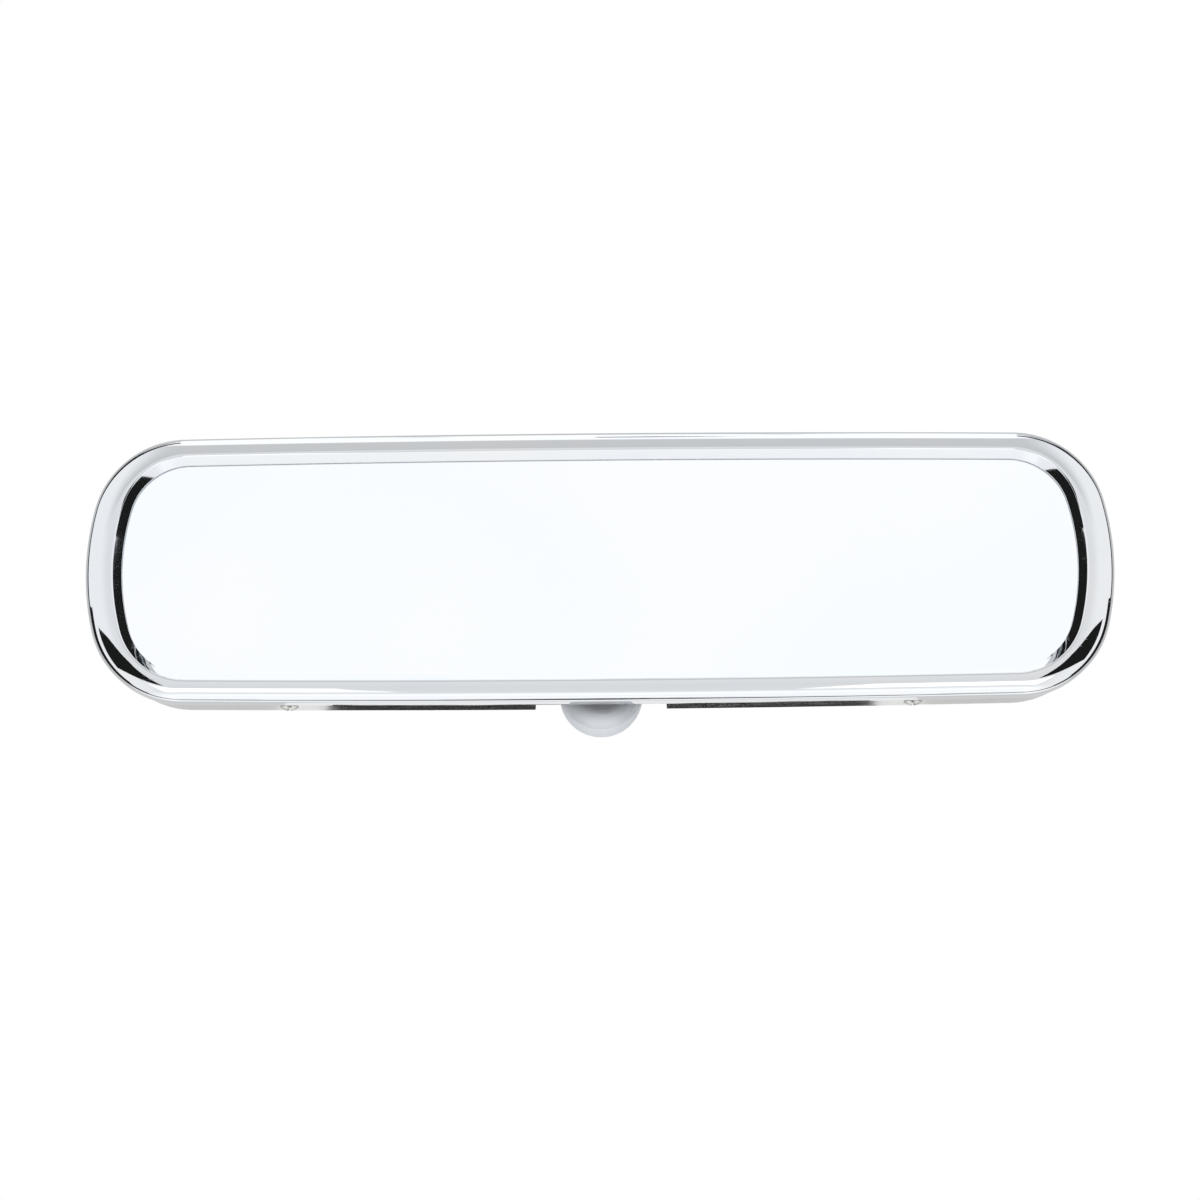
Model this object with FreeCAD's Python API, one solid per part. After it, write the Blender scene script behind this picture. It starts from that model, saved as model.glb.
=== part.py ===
"""Interior rearview mirror with a day/night flip lever.

A chromed rim holds a prismatic glass in a pressed shell. Inside the shell a riveted frame carries the shell on a
hinge rod, so that the whole case tips a few degrees on the pivot plate when the round knob under the rim is
pushed. The pivot plate clamps a ball joint on the end of a die-cast bracket, whose foot screws to the header.

Millimetres. +Z is up, -Y is the side that the driver looks at, and the row's origin is the centre of the
foot's mounting face. Everything is modelled about the centre of the ball and moved to the row's frame at export.
"""

import FreeCAD, Part
import math
import os
from FreeCAD import Vector as V

X, Y, Z = V(1, 0, 0), V(0, 1, 0), V(0, 0, 1)

# ---- driving dimensions -------------------------------------------------------------------------------------
# outline of the rim, as seen from the front: four slightly bowed sides joined by tangent corner arcs
HALF_WIDTH = 127.2
HALF_HEIGHT = 33.9
LONG_SIDE_R = 7400.0
SHORT_SIDE_R = 66.0
CORNER_R = 23.0

# depths along Y, from the ball's centre
RIM_FRONT_Y = -31.0
RIM_DEPTH = 7.4
SHEET = 0.8                    # pressed sheet of the rim and the shell
SHELL_FRONT_Y = -26.0
SHELL_BACK_Y = 3.0
SHELL_CORNER_R = 11.0
SHELL_DRAFT = 0.55             # how far the shell's walls lean in between rim and back edge
FIT = 0.05                     # gap of every nesting or running pair

# glass and what backs it
GLASS_FRONT_Y = RIM_FRONT_Y + 3.0
GLASS_INSET = 7.6              # at the short sides; the rim's own stations give the rest
GLASS_MID = 4.55               # thickness half-way up
WEDGE = math.tan(math.radians(3.37))
SILVER_T = 0.2
PAD_T = 1.5
CARRIER_T = 0.7

# ball joint
BALL_R = 7.0
NECK_R = 3.6
LINER_R = 8.2
CUP_R = 9.3
STUD_R = 4.0
STUD_END_Y = 27.0
ARM_START_Y = 12.0
CLAMP_Y = 19.0

# bracket foot
FOOT_Y = 62.0                  # mounting face
FOOT_Z = 14.0
FOOT_T = 4.5
FOOT_PAD_T = 1.0
FOOT_HOLE_R = 2.3
FOOT_PCD = 30.0
FOOT_LOBE_R = 7.0

# flip mechanism: positions are (y, z)
HINGE = (-5.0, 19.5)
LEVER_AXIS = (-8.0, -18.5)
CRANK = 5.4
LEVER_SWING = 30.0             # degrees; the crank swings this far, half each side of upright
PIN_R = 1.5
LINK_R = 1.25
SCREW_R = 1.25                  # case and retainer screws
SCREW_HEAD_R = 2.3
SLOT_HALF = 0.35                # half width of a screw's slot
SPRING_POST = (-8.6, -4.3)
half_swing = math.radians(LEVER_SWING / 2)
LINK = (LEVER_AXIS[0] + CRANK * math.sin(half_swing), LEVER_AXIS[1] + CRANK * math.cos(half_swing))

# pivot plate and frame
PLATE_FRONT_Y, PLATE_REAR_Y = -4.2, -3.0
PLATE_HALF = 13.0
PLATE_LOW_Z = -16.0
POCKET_R = 9.6
POCKET_FRONT_Y = -12.6
POCKET_T = 1.2
RETAINER_T = 1.0
RETAINER_SCREW = 10.3          # each screw's distance from the centre along X and along Z
FRAME_X = 15.5                 # inner face of the frame's side flanges
FRAME_T = 1.2
FRAME_REAR_Y = SHELL_BACK_Y - SHEET
SHELL_HOLE_R = 12.0

# knob: a ball cut flat behind, on a lever that hangs straight down half-way through its swing
KNOB_R = 10.4
KNOB_DROP = 11.6               # ball's centre below the lever's axis
SEAM_Y = -2.4                  # moulding seam, from the ball's centre
KNOB_FACE_Y, KNOB_FACE_R = -5.0, 6.2
KNOB_REAR_Y = 5.0
DISH = 0.4                     # depth of the dish in the knob's face
NOTCH_HALF = 16.6
NOTCH_REAR_Y = 1.6

# the rim is narrower along its long sides: (inset at a short side, inset at a long side) of its outer edge,
# the edge of its face, the face's inner edge, the sight edge round the glass, and a line hidden behind that
RIM_STATIONS = [(0.0, 0.0), (0.95, 0.95), (6.7, 4.75), (9.0, 6.9), (11.0, 8.9)]

# the rim's section at a short side
CREST = 6.3                    # inset of the foremost line of the face
FACE_R = 10.4                  # the face's dome
EDGE_R = 2.12                  # round outer edge
BEND_R = 0.9                   # bend between face and bevel
BEND_START, BEVEL = math.radians(1.4), math.radians(45)
SIGHT_INSET = 9.0
SIGHT_EDGE = 0.55              # depth of the sheet's edge round the glass

# where the row's origin is, seen from the ball
TO_ROW = V(0, -FOOT_Y, -FOOT_Z)


# ---- shape helpers ------------------------------------------------------------------------------------------
def box(x, y, z):
    """A box from three (low, high) pairs."""
    return Part.makeBox(x[1] - x[0], y[1] - y[0], z[1] - z[0], V(x[0], y[0], z[0]))


def rod_x(radius, x0, x1, place):
    """A round bar along X at place = (y, z)."""
    return Part.makeCylinder(radius, x1 - x0, V(x0, place[0], place[1]), X)


def rod_y(radius, y0, y1, x=0.0, z=0.0):
    """A round bar along Y."""
    return Part.makeCylinder(radius, y1 - y0, V(x, y0, z), Y)


def join(first, *others):
    """The shapes as one solid, with no seams left between them."""
    return first.fuse(list(others)).removeSplitter()


def group(shapes):
    """Separate solids kept in one node."""
    return Part.makeCompound(shapes)


def wire_2d(path, place):
    """A closed wire. path holds points (u, v), and pairs (through, end) for arcs; place turns (u, v) into 3-D."""
    edges, here = [], path[0]
    for step in list(path[1:]) + [path[0]]:
        if isinstance(step[0], tuple):
            through, end = step
            edges.append(Part.Arc(place(*here), place(*through), place(*end)).toShape())
        else:
            end = step
            edges.append(Part.LineSegment(place(*here), place(*end)).toShape())
        here = end
    return Part.Wire(edges)


def turned(path):
    """A solid of revolution about Y. path is in (radius, y)."""
    return Part.Face(wire_2d(path, lambda r, y: V(r, y, 0))).revolve(V(), Y, 360)


def dome_middle(radius, edge, pole):
    """A point half-way along the round dome that runs from (radius, edge) to (0, pole) on the axis."""
    rise = pole - edge
    ball = (radius**2 + rise**2) / (2 * abs(rise))
    half = math.asin(radius / ball) / 2
    return (ball * math.sin(half), pole - math.copysign(ball * (1 - math.cos(half)), rise))


def on_circle(centre, radius, angle):
    """The point of a profile's circle at that angle from the forward direction, positive inwards."""
    return (centre[0] + radius * math.sin(angle), centre[1] - radius * math.cos(angle))


def across_x(path, x0, x1):
    """A profile in (y, z) extruded along X."""
    return Part.Face(wire_2d(path, lambda y, z: V(x0, y, z))).extrude(V(x1 - x0, 0, 0))


# ---- the rim's outline --------------------------------------------------------------------------------------
def outline_arcs(at_side=0.0, at_long=None):
    """The outline's eight tangent arcs as (centre x, centre z, radius, start angle, end angle), anticlockwise.

    It is inset by at_side at the short sides and by at_long, or as much again, at the long ones.
    """
    at_long = at_side if at_long is None else at_long
    side_r, long_r = SHORT_SIDE_R - at_side, LONG_SIDE_R - at_long
    corner_r = CORNER_R - (at_side + at_long) / 2
    side_x = HALF_WIDTH - SHORT_SIDE_R
    long_z = HALF_HEIGHT - LONG_SIDE_R
    to_long, to_side = long_r - corner_r, side_r - corner_r
    apart = math.hypot(side_x, long_z)
    along = (to_long**2 - to_side**2 + apart**2) / (2 * apart)
    across = math.sqrt(to_long**2 - along**2)
    ux, uz = side_x / apart, -long_z / apart
    cx, cz = along * ux + across * uz, long_z + along * uz - across * ux
    side = math.atan2(cz, cx - side_x)
    top = math.atan2(cz - long_z, cx)
    half = math.pi
    return [
        (side_x, 0, side_r, -side, side),
        (cx, cz, corner_r, side, top),
        (0, long_z, long_r, top, half - top),
        (-cx, cz, corner_r, half - top, half - side),
        (-side_x, 0, side_r, half - side, half + side),
        (-cx, -cz, corner_r, half + side, half + top),
        (0, -long_z, long_r, half + top, 2 * half - top),
        (cx, -cz, corner_r, 2 * half - top, 2 * half - side),
    ]


def on_arc(arc, angle, inset, y):
    """The point at that angle of an outline arc, inset from the outline, at depth y."""
    cx, cz, radius = arc[:3]
    return V(cx + (radius - inset) * math.cos(angle), y, cz + (radius - inset) * math.sin(angle))


def outline_wire(at_side, at_long, y):
    edges = []
    for arc in outline_arcs(at_side, at_long):
        angles = (arc[3], (arc[3] + arc[4]) / 2, arc[4])
        edges.append(Part.Arc(*[on_arc(arc, a, 0, y) for a in angles]).toShape())
    return Part.Wire(edges)


def slab(inset, y0, y1, at_long=None):
    """The outline, inset all round, extruded from y0 to y1."""
    return Part.Face(outline_wire(inset, at_long, y0)).extrude(V(0, y1 - y0, 0))


def ring(path):
    """A profile in (inset, y) carried all round the outline."""
    parts = []
    for arc in outline_arcs():
        face = Part.Face(wire_2d(path, lambda inset, y: on_arc(arc, arc[3], inset, y)))
        parts.append(face.revolve(V(arc[0], 0, arc[1]), -Y, math.degrees(arc[4] - arc[3])))
    return join(*parts)


def rim_long_inset(at_side):
    """The inset at the long sides of the rim line whose inset at the short sides is at_side."""
    for (s0, l0), (s1, l1) in zip(RIM_STATIONS, RIM_STATIONS[1:]):
        if at_side <= s1:
            return l0 + (l1 - l0) * (at_side - s0) / (s1 - s0)
    raise ValueError("past the last rim station")


def rim_ring(path, arc_points=6):
    """A profile in (inset at the short sides, y) carried round the rim, whose width varies."""
    places = []
    for edge in wire_2d(path, lambda inset, y: V(inset, y, 0)).Edges:
        count = arc_points if isinstance(edge.Curve, Part.Circle) else 2
        places += edge.discretize(count)[:-1]
    wires = [outline_wire(p.x, rim_long_inset(p.x), p.y) for p in places]
    faces = []
    for near, far in zip(wires, wires[1:] + wires[:1]):
        faces += [Part.makeRuledSurface(a, b) for a, b in zip(near.Edges, far.Edges)]
    skin = Part.Shell(faces)
    skin.sewShape()
    body = Part.Solid(skin)
    return body if body.Volume > 0 else body.reversed()


def leaning_slab(inset, front, back, lean_front=WEDGE, lean_back=WEDGE, at_long=None):
    """The inset outline between two leaning planes: y at mid-height, and the slope dy/dz of each."""
    reach = 60.0
    wedge = across_x(
        [
            (front - reach * lean_front, -reach),
            (back - reach * lean_back, -reach),
            (back + reach * lean_back, reach),
            (front + reach * lean_front, reach),
        ],
        -2 * reach * 1.2,
        2 * reach * 1.2,
    )
    return slab(inset, -reach, reach, at_long).common(wedge)


# ---- rim, glass and backing ---------------------------------------------------------------------------------
def rim_section():
    """The rim's section in (inset, y): domed face, round outer edge, then the inner bevel, and back along the inside."""
    crest = (CREST, RIM_FRONT_Y + FACE_R)
    tip = math.asin((CREST - EDGE_R) / (FACE_R - EDGE_R))
    edge = on_circle(crest, FACE_R - EDGE_R, -tip)
    bend = on_circle(crest, FACE_R - BEND_R, BEND_START)
    bevel_y = on_circle(bend, BEND_R, BEVEL)[1] - on_circle(bend, BEND_R, BEVEL)[0] * math.tan(BEVEL)
    inside_y = bevel_y + SHEET / math.cos(BEVEL)
    sight_y = bevel_y + SIGHT_INSET * math.tan(BEVEL)
    lip_y = sight_y + SIGHT_EDGE
    inner_face, inner_edge = FACE_R - SHEET, EDGE_R - SHEET
    return [
        (0.0, RIM_FRONT_Y + RIM_DEPTH),
        (0.0, edge[1]),
        (on_circle(edge, EDGE_R, -(tip + math.pi / 2) / 2), on_circle(edge, EDGE_R, -tip)),
        (on_circle(crest, FACE_R, -tip / 2), on_circle(crest, FACE_R, BEND_START)),
        (on_circle(bend, BEND_R, (BEND_START + BEVEL) / 2), on_circle(bend, BEND_R, BEVEL)),
        (SIGHT_INSET, sight_y),
        (SIGHT_INSET, lip_y),
        ((lip_y - inside_y) / math.tan(BEVEL), lip_y),
        on_circle(bend, BEND_R - SHEET, BEVEL),
        on_circle(crest, inner_face, BEND_START),
        (on_circle(crest, inner_face, -tip / 2), on_circle(crest, inner_face, -tip)),
        (on_circle(edge, inner_edge, -(tip + math.pi / 2) / 2), (SHEET, edge[1])),
        (SHEET, RIM_FRONT_Y + RIM_DEPTH),
    ]


def rim_bezel():
    """Pressed channel: straight outer wall, domed face and an inner bevel that leans back to the glass."""
    return rim_ring(rim_section())


def glass_gasket():
    """Moulded strip, L-shaped in section: a lip in front of the glass and a wall round its edge."""
    outer, lip_end = GLASS_INSET - 1.3, GLASS_INSET + 1.3
    lip_y, wall_y = GLASS_FRONT_Y - 0.3, GLASS_FRONT_Y + 2.4
    return rim_ring(
        [
            (outer, lip_y),
            (lip_end, lip_y),
            (lip_end, GLASS_FRONT_Y),
            (GLASS_INSET, GLASS_FRONT_Y),
            (GLASS_INSET, wall_y),
            (outer, wall_y),
        ]
    )


def mirror_glass():
    """Prism glass: upright front, leaning back, thicker at the top."""
    back = GLASS_FRONT_Y + GLASS_MID
    at_long = rim_long_inset(GLASS_INSET)
    return leaning_slab(GLASS_INSET, GLASS_FRONT_Y, back, lean_front=0.0, at_long=at_long)


def layer(inset, start, thickness, at_long=None):
    """A leaning layer behind the glass, from start behind the glass's back face."""
    front = GLASS_FRONT_Y + GLASS_MID + start
    return leaning_slab(inset, front, front + thickness, at_long=at_long)


def mirror_silvering():
    inset = GLASS_INSET + 0.2
    return layer(inset, 0.02, SILVER_T, rim_long_inset(inset))


def backing_pad():
    inset = GLASS_INSET + 0.6
    return layer(inset, 0.02 + SILVER_T, PAD_T, rim_long_inset(inset))


SCREW_X = 77.6                 # case screws, either side of the middle
SCREW_Y = -16.5
CARRIER_INSET = 2.3
TAB_INSET, TAB_T = 2.15, 1.2
SHELL_INSET = SHEET + FIT      # the shell slips inside the rim
SHELL_BEND_Y = SHELL_BACK_Y - SHELL_CORNER_R


def top_of_outline(x, inset):
    """Height of the inset outline at x along its long side."""
    radius = LONG_SIDE_R - inset
    return HALF_HEIGHT - LONG_SIDE_R + math.sqrt(radius**2 - x**2)


def carrier_plate():
    """Pressed plate that presses the glass forward; four tabs turn back along the shell and take its screws."""
    start = 0.02 + SILVER_T + PAD_T
    plate = layer(CARRIER_INSET, start, CARRIER_T)
    tab_ring = slab(TAB_INSET, -24.5, -13.5).cut(slab(TAB_INSET + TAB_T, -25, -13))
    tabs = []
    for sx in (-1, 1):
        for sz in (-1, 1):
            near = sorted((sx * (SCREW_X - 5), sx * (SCREW_X + 5)))
            tabs.append(tab_ring.common(box(near, (-25, -12), sorted((sz * 20, sz * 40)))))
    # the tabs start at the plate's rear face
    behind = leaning_slab(0.0, GLASS_FRONT_Y + GLASS_MID + start, 0.0, lean_back=0.0)
    body = join(plate, *[t.common(behind) for t in tabs])
    for sx in (-1, 1):
        for sz in (-1, 1):
            hole = Part.makeCylinder(SCREW_R, 10, V(sx * SCREW_X, SCREW_Y, sz * 26), V(0, 0, sz))
            body = body.cut(hole)
    return body


def shell_inset(y):
    """How far the shell's wall stands inside the outline at depth y."""
    return SHELL_INSET + SHELL_DRAFT * (y - SHELL_FRONT_Y) / (SHELL_BEND_Y - SHELL_FRONT_Y)


def back_shell():
    """Pressed pan with a rounded back edge, a round opening for the ball joint and a notch for the knob."""
    front, wall, r = SHELL_INSET, shell_inset(SHELL_BEND_Y), SHELL_CORNER_R
    bulge = 1 - math.sqrt(0.5)
    outer_diag, inner_diag = r * bulge, (r - SHEET) * bulge
    inner_y = SHELL_BACK_Y - SHEET
    shell = ring(
        [
            (front, SHELL_FRONT_Y),
            (wall, SHELL_BEND_Y),
            ((wall + outer_diag, SHELL_BACK_Y - outer_diag), (wall + r, SHELL_BACK_Y)),
            (wall + r, inner_y),
            ((wall + SHEET + inner_diag, inner_y - inner_diag), (wall + SHEET, SHELL_BEND_Y)),
            (front + SHEET, SHELL_FRONT_Y),
        ]
    )
    shell = join(shell, slab(wall + r, inner_y, SHELL_BACK_Y))
    shell = shell.cut(rod_y(SHELL_HOLE_R, -5, 10))
    notch = box((-NOTCH_HALF, NOTCH_HALF), (SHELL_FRONT_Y - 1, NOTCH_REAR_Y), (-40, -24))
    rear_edges = [e for e in notch.Edges if e.BoundBox.YMin > NOTCH_REAR_Y - 0.1 and e.BoundBox.ZLength > 10]
    shell = shell.cut(notch.makeFillet(3.0, rear_edges))
    for sx in (-1, 1):
        for sz in (-1, 1):
            shell = shell.cut(Part.makeCylinder(1.4, 12, V(sx * SCREW_X, SCREW_Y, sz * 26), V(0, 0, sz)))
        for z in RIVET_ZS:
            shell = shell.cut(rod_y(RIVET_R, 0, 5, sx * RIVET_X, z))
    return shell


def case_screws():
    """Four pan-head screws through the shell into the carrier's tabs."""
    seat = top_of_outline(SCREW_X, shell_inset(SCREW_Y - SCREW_HEAD_R)) + FIT
    edge, crown = seat + 0.35, seat + 1.25
    tip = top_of_outline(SCREW_X, TAB_INSET + TAB_T) - 0.8
    profile = [
        (0, tip),
        (SCREW_R, tip),
        (SCREW_R, seat),
        (SCREW_HEAD_R, seat),
        (SCREW_HEAD_R, edge),
        (dome_middle(SCREW_HEAD_R, edge, crown), (0.0, crown)),
    ]
    screw = Part.Face(wire_2d(profile, lambda r, z: V(r, 0, z))).revolve(V(), Z, 360)
    screw = screw.cut(box((-SLOT_HALF, SLOT_HALF), (-3, 3), (seat + 0.7, seat + 2)))
    screws = []
    for sx in (-1, 1):
        up = screw.copy()
        up.translate(V(sx * SCREW_X, SCREW_Y, 0))
        screws += [up, up.mirror(V(), Z)]
    return group(screws)


# ---- frame and flip mechanism, fixed in the case ------------------------------------------------------------
RIVET_X = 20.3
RIVET_ZS = (-15.0, 16.0)
RIVET_R = 1.6
STRAP_OPEN_Z = (-13.2, 14.5)   # the frame's window


def mechanism_frame():
    """Pressed window frame riveted inside the shell's back, with a flange each side for the pins."""
    low, high = -21.5, 21.5
    rod_cover = 2.0
    base = box((-24.5, 24.5), (FRAME_REAR_Y - FRAME_T, FRAME_REAR_Y), (low, high))
    base = base.cut(box((-FRAME_X, FRAME_X), (-1, 4), STRAP_OPEN_Z))
    flanges = []
    for s in (-1, 1):
        xs = sorted((s * FRAME_X, s * (FRAME_X + FRAME_T)))
        flange = box(xs, (-12.0, FRAME_REAR_Y - FRAME_T), (low, HINGE[1] + PIN_R + rod_cover))
        front = [e for e in flange.Edges if e.BoundBox.YMax < -11.9 and e.BoundBox.XLength > 1]
        flanges.append(flange.makeFillet(3.0, front))
    frame = join(base, *flanges)
    frame = frame.cut(rod_x(PIN_R, -30, 30, HINGE)).cut(rod_x(PIN_R, -30, 30, LEVER_AXIS))
    frame = frame.cut(rod_x(LINK_R, 10, 30, SPRING_POST))
    for sx in (-1, 1):
        for z in RIVET_ZS:
            frame = frame.cut(rod_y(RIVET_R, 0, 5, sx * RIVET_X, z))
    return frame


def frame_rivets():
    """Four rivets with domed heads outside the shell and flat ones on the frame."""
    y0, y1 = FRAME_REAR_Y - FRAME_T, SHELL_BACK_Y
    rivet = turned(
        [
            (0, y0 - 0.8),
            (2.6, y0 - 0.8),
            (2.6, y0),
            (RIVET_R, y0),
            (RIVET_R, y1),
            (3.1, y1),
            (3.1, y1 + 0.25),
            (dome_middle(3.1, y1 + 0.25, y1 + 1.35), (0, y1 + 1.35)),
        ]
    )
    rivets = []
    for sx in (-1, 1):
        for z in RIVET_ZS:
            one = rivet.copy()
            one.translate(V(sx * RIVET_X, 0, z))
            rivets.append(one)
    return group(rivets)


PIN_HALF = FRAME_X + FRAME_T + 1.4


def hinge_rod():
    return rod_x(PIN_R, -PIN_HALF, PIN_HALF, HINGE)


def lever_pin():
    return rod_x(PIN_R, -PIN_HALF, PIN_HALF, LEVER_AXIS)


def pin_clips():
    """Spring clips on the four pin ends, outside the flanges."""
    clips = []
    for place in (HINGE, LEVER_AXIS):
        for s in (-1, 1):
            x0, x1 = sorted((s * (FRAME_X + FRAME_T), s * (FRAME_X + FRAME_T + 0.6)))
            disc = rod_x(3.0, x0, x1, place).cut(rod_x(PIN_R, x0, x1, place))
            mouth = box((x0, x1), (place[0], place[0] + 4), (place[1] - 1.1, place[1] + 1.1))
            clips.append(disc.cut(mouth))
    return group(clips)


def pin_spacers():
    """Two tubes that keep the lever in the middle of its pin."""
    tubes = []
    for s in (-1, 1):
        x0, x1 = sorted((s * 6.1, s * (FRAME_X - FIT)))
        tubes.append(rod_x(2.1, x0, x1, LEVER_AXIS).cut(rod_x(PIN_R + FIT, x0, x1, LEVER_AXIS)))
    return group(tubes)


SPRING_X = (11.9, 14.1)


def spring_post():
    """Shouldered stud riveted in the right flange."""
    post = rod_x(LINK_R, 11.2, FRAME_X + FRAME_T, SPRING_POST)
    head = rod_x(2.0, 10.95, 11.75, SPRING_POST)
    clinch = rod_x(2.0, FRAME_X + FRAME_T, FRAME_X + FRAME_T + 0.7, SPRING_POST)
    collar = rod_x(2.0, 14.25, FRAME_X, SPRING_POST)
    return join(post, head, clinch, collar)


def toggle_spring():
    """Bowed strip spring with a rolled eye at each end, held between the post and the link pin."""
    eye_r, strip = 1.9, 0.5
    low, high = LINK, SPRING_POST
    start = (low[0] - eye_r + strip, low[1])
    end = (high[0] - eye_r + strip, high[1])
    bow_y, mid_z = -12.4, (low[1] + high[1]) / 2
    band = across_x(
        [
            start,
            ((bow_y, mid_z), end),
            (end[0] - strip, end[1]),
            ((bow_y - strip, mid_z), (start[0] - strip, start[1])),
        ],
        *SPRING_X,
    )
    eyes = [rod_x(eye_r, *SPRING_X, place) for place in (low, high)]
    spring = join(band, *eyes)
    for place in (low, high):
        spring = spring.cut(rod_x(LINK_R + FIT, *SPRING_X, place))
    return spring


# ---- lever and knob -----------------------------------------------------------------------------------------
STEM_X, STEM_Y, STEM_END = 3.0, 1.5, 16.0
CRANK_X = 6.0


def at_rest(shape):
    """Turn a piece of the lever, built half-way through its swing, to where the lever rests: pulled forward."""
    shape.rotate(V(0, *LEVER_AXIS), X, -LEVER_SWING / 2)
    return shape


def lever_stem():
    ay, az = LEVER_AXIS
    return box((-STEM_X, STEM_X), (ay - STEM_Y, ay + STEM_Y), (az - STEM_END, az))


def flip_lever():
    """Die-cast lever: hub on the lever pin, a crank up to the link pin and a flat stem down into the knob."""
    ay, az = LEVER_AXIS
    crank = (ay, az + CRANK)
    hub = rod_x(3.4, -CRANK_X, CRANK_X, LEVER_AXIS)
    crank_end = rod_x(2.1, -CRANK_X, CRANK_X, crank)
    low_half, high_half = 2.6, 2.0
    corners = [(ay - low_half, az), (ay + low_half, az), (ay + high_half, crank[1]), (ay - high_half, crank[1])]
    cheek = across_x(corners, -CRANK_X, CRANK_X)
    lever = join(hub, crank_end, cheek, lever_stem())
    return at_rest(lever.cut(rod_x(PIN_R + FIT, -7, 7, LEVER_AXIS)).cut(rod_x(LINK_R, -7, 7, crank)))


def link_pin():
    return rod_x(LINK_R, -9.2, 14.3, LINK)


def ball_radius(y):
    return math.sqrt(KNOB_R**2 - y**2)


def flip_knob():
    """Round knob: dished face, broad rounded shoulder and a fine seam, on a ball that is cut flat behind."""
    groove = 0.12
    knob = turned(
        [
            (0, KNOB_FACE_Y + DISH),
            (dome_middle(KNOB_FACE_R, KNOB_FACE_Y, KNOB_FACE_Y + DISH), (KNOB_FACE_R, KNOB_FACE_Y)),
            ((8.7, KNOB_FACE_Y + 0.85), (ball_radius(SEAM_Y) - groove, SEAM_Y - 0.1)),
            (ball_radius(SEAM_Y) - groove, SEAM_Y),
            (ball_radius(SEAM_Y), SEAM_Y + 0.1),
            ((KNOB_R, 0), (ball_radius(KNOB_REAR_Y), KNOB_REAR_Y)),
            (0, KNOB_REAR_Y),
        ]
    )
    ay, az = LEVER_AXIS
    knob.translate(V(0, ay, az - KNOB_DROP))
    return at_rest(knob.cut(rod_x(3.75, -12, 12, LEVER_AXIS)).cut(lever_stem()))


# ---- pivot plate and ball joint -----------------------------------------------------------------------------
def pivot_plate():
    """Pressed plate: knuckles on the hinge rod, a round pocket for the joint's spring and two slotted ears."""
    low_y = POCKET_FRONT_Y - POCKET_T
    plate = box((-PLATE_HALF, PLATE_HALF), (PLATE_FRONT_Y, PLATE_REAR_Y), (PLATE_LOW_Z, 16.0))
    pocket = rod_y(POCKET_R + POCKET_T, low_y, PLATE_REAR_Y)
    rim = [e for e in pocket.Edges if e.BoundBox.YMax < low_y + 0.1]
    parts = [plate, pocket.makeFillet(1.5, rim)]
    for s in (-1, 1):
        xs = sorted((s * 6.0, s * PLATE_HALF))
        parts.append(box(xs, (PLATE_FRONT_Y, PLATE_REAR_Y), (15.0, HINGE[1])))
        parts.append(rod_x(2.7, *xs, HINGE))
        ear = box(sorted((s * 7.2, s * 8.4)), (-9.4, PLATE_REAR_Y), (PLATE_LOW_Z, -10.7))
        parts.append(ear)
    body = join(*parts).cut(rod_y(POCKET_R, POCKET_FRONT_Y, 0))
    body = body.cut(rod_x(PIN_R + FIT, -20, 20, HINGE))
    # room for the lever's crank between the ears
    body = body.cut(box((-6.6, 6.6), (PLATE_FRONT_Y - 0.01, 0), (PLATE_LOW_Z - 1, -12.0)))
    # each slot lets the link pin slide up and down as it swings
    slot_r, slot_top, slot_low = LINK_R + 0.1, LINK[1] + 0.1, LINK[1] - 0.42
    slot = join(
        rod_x(slot_r, -10, 10, (LINK[0], slot_top)),
        rod_x(slot_r, -10, 10, (LINK[0], slot_low)),
        box((-10, 10), (LINK[0] - slot_r, LINK[0] + slot_r), (slot_low, slot_top)),
    )
    body = body.cut(slot)
    for x, z in retainer_screw_places():
        body = body.cut(rod_y(SCREW_R, -10, 0, x, z))
    return body


def retainer_screw_places():
    return [(sx * RETAINER_SCREW, sz * RETAINER_SCREW) for sx in (-1, 1) for sz in (-1, 1)]


def seat_r():
    return LINER_R + FIT


def ball_retainer():
    """Square clamp plate with a domed collar whose inside is the joint's rear seat."""
    opening = 60.0
    y0, y1 = PLATE_REAR_Y, PLATE_REAR_Y + RETAINER_T
    plate = box((-12.7, 12.7), (y0, y1), (-12.7, 12.7))
    plate = plate.makeFillet(2.0, [e for e in plate.Edges if e.BoundBox.YLength > 0.5])
    dome = Part.makeSphere(seat_r() + 1.0).common(box((-20, 20), (y0, 20), (-20, 20)))
    reach = 20.0
    cone = Part.makeCone(0, reach * math.tan(math.radians(opening)), reach, V(), Y)
    body = join(plate, dome).cut(Part.makeSphere(seat_r())).cut(cone)
    for x, z in retainer_screw_places():
        body = body.cut(rod_y(SCREW_R, -10, 5, x, z))
    return body


def retainer_screws():
    y1 = PLATE_REAR_Y + RETAINER_T
    screws = []
    for x, z in retainer_screw_places():
        screw = join(rod_y(SCREW_R, PLATE_FRONT_Y - 0.8, y1), rod_y(2.2, y1, y1 + 1.2))
        screw = screw.cut(box((-SLOT_HALF, SLOT_HALF), (y1 + 0.6, y1 + 2), (-3, 3)))
        screw.translate(V(x, 0, z))
        screws.append(screw)
    return group(screws)


def tension_spring():
    """Short coil spring between the pocket's floor and the tension cup."""
    wire_r, coil_r, turns = 0.55, 5.0, 2.4
    start = POCKET_FRONT_Y + wire_r + FIT
    end = -math.sqrt((CUP_R + wire_r + 0.05) ** 2 - coil_r**2)
    height = end - start
    helix = Part.makeHelix(height / turns, height, coil_r)
    section = Part.Wire(Part.makeCircle(wire_r, V(coil_r, 0, 0), Y))
    spring = Part.Wire(helix).makePipeShell([section], True, True)
    spring.rotate(V(), X, -90)
    spring.translate(V(0, start, 0))
    return spring


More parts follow.
